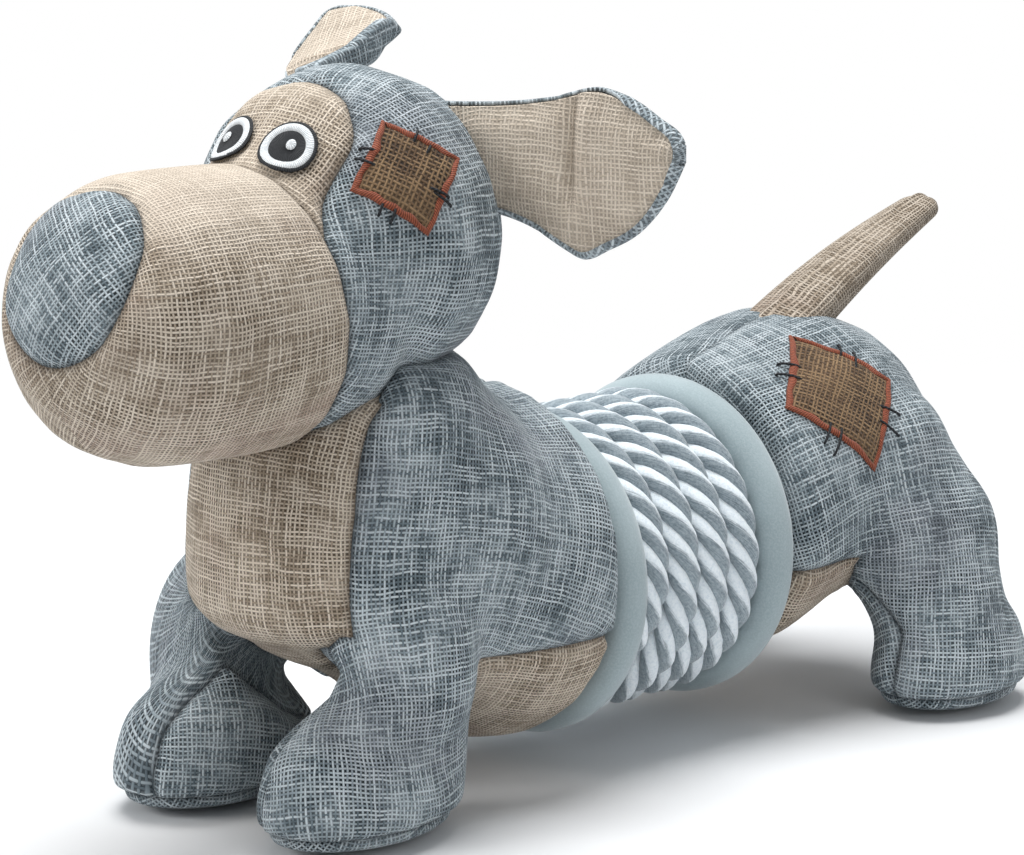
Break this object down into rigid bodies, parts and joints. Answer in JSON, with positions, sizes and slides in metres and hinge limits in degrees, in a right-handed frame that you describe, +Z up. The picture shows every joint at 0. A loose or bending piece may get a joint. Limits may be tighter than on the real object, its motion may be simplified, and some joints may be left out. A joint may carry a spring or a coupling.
{
  "type": "dog toy",
  "caption": "Plush dog-shaped toy of woven cloth, with a cotton rope wound round the waist between padded collars, floppy ears and a short tail.",
  "frame": {"origin": "middle of the toy's bounding box, on the floor it stands on", "axes": "+Z up; the dog looks along -Y and its tail points to +Y; +X is its left side"},
  "size_m": [0.1392, 0.303, 0.1837],
  "materials": {
    "blue_cloth": "coarse linen weave",
    "beige_cloth": "coarse linen weave",
    "short_plush": "short plush",
    "cotton_rope": "twisted three-strand rope, white and grey",
    "burlap": "open burlap weave",
    "rust_thread": "satin-stitched border",
    "black_thread": "embroidery thread",
    "white_thread": "embroidery thread",
    "wadding": "polyester wadding",
    "squeaker_plastic": "soft translucent",
    "reed_plastic": "smooth"
  },
  "bodies": {
    "toy": {"waist_core": "wadding", "rope_winding": "cotton_rope", "front_collar": "short_plush", "rear_collar": "short_plush", "nose_panel": "blue_cloth", "muzzle_cover": "beige_cloth", "face_panel": "beige_cloth", "hood": "blue_cloth", "head_filling": "wadding", "muzzle_filling": "wadding", "squeaker_bulb": "squeaker_plastic", "squeaker_reed": "reed_plastic", "left_eye_rim": "black_thread", "left_eye_white": "white_thread", "left_eye_pupil": "black_thread", "right_eye_rim": "black_thread", "right_eye_white": "white_thread", "right_eye_pupil": "black_thread", "head_patch": "burlap", "head_patch_border": "rust_thread", "head_stitch_side_low_first": "black_thread", "head_stitch_side_low_second": "black_thread", "head_stitch_side_high_first": "black_thread", "head_stitch_side_high_second": "black_thread", "head_stitch_edge_low_first": "black_thread", "head_stitch_edge_low_second": "black_thread", "head_stitch_edge_high_first": "black_thread", "head_stitch_edge_high_second": "black_thread", "rear_patch": "burlap", "rear_patch_border": "rust_thread", "rear_stitch_side_low_first": "black_thread", "rear_stitch_side_low_second": "black_thread", "rear_stitch_side_high_first": "black_thread", "rear_stitch_side_high_second": "black_thread", "rear_stitch_edge_low_first": "black_thread", "rear_stitch_edge_low_second": "black_thread", "rear_stitch_edge_high_first": "black_thread", "rear_stitch_edge_high_second": "black_thread", "chest_panel": "beige_cloth", "front_cover": "blue_cloth", "front_filling": "wadding", "rear_cover": "blue_cloth", "rear_belly_panel": "beige_cloth", "rear_filling": "wadding", "left_front_leg": "blue_cloth", "left_front_sole": "blue_cloth", "right_front_leg": "blue_cloth", "right_front_sole": "blue_cloth", "left_rear_leg": "blue_cloth", "left_rear_sole": "blue_cloth", "right_rear_leg": "blue_cloth", "right_rear_sole": "blue_cloth"},
    "left_ear": {"left_ear_lining": "beige_cloth", "left_ear_back": "blue_cloth"},
    "right_ear": {"right_ear_lining": "beige_cloth", "right_ear_back": "blue_cloth"},
    "tail": {"tail": "beige_cloth"}
  },
  "joints": [
    {"name": "left_ear_flap", "type": "hinge", "parent": "toy", "child": "left_ear", "pos_m": [0.02693, -0.04444, 0.15092], "axis": [-0.4498, -0.079, 0.8896], "range_deg": [-40, 40], "stiffness_Nm_per_rad": 0.02},
    {"name": "right_ear_flap", "type": "hinge", "parent": "toy", "child": "right_ear", "pos_m": [-0.03259, -0.04381, 0.1574], "axis": [-0.7022, -0.1861, -0.6872], "range_deg": [-40, 40], "stiffness_Nm_per_rad": 0.02},
    {"name": "tail_wag", "type": "hinge", "parent": "toy", "child": "tail", "pos_m": [-0.00437, 0.092, 0.0985], "axis": [0, 0.1, 0.995], "range_deg": [-35, 35], "stiffness_Nm_per_rad": 0.02}
  ]
}
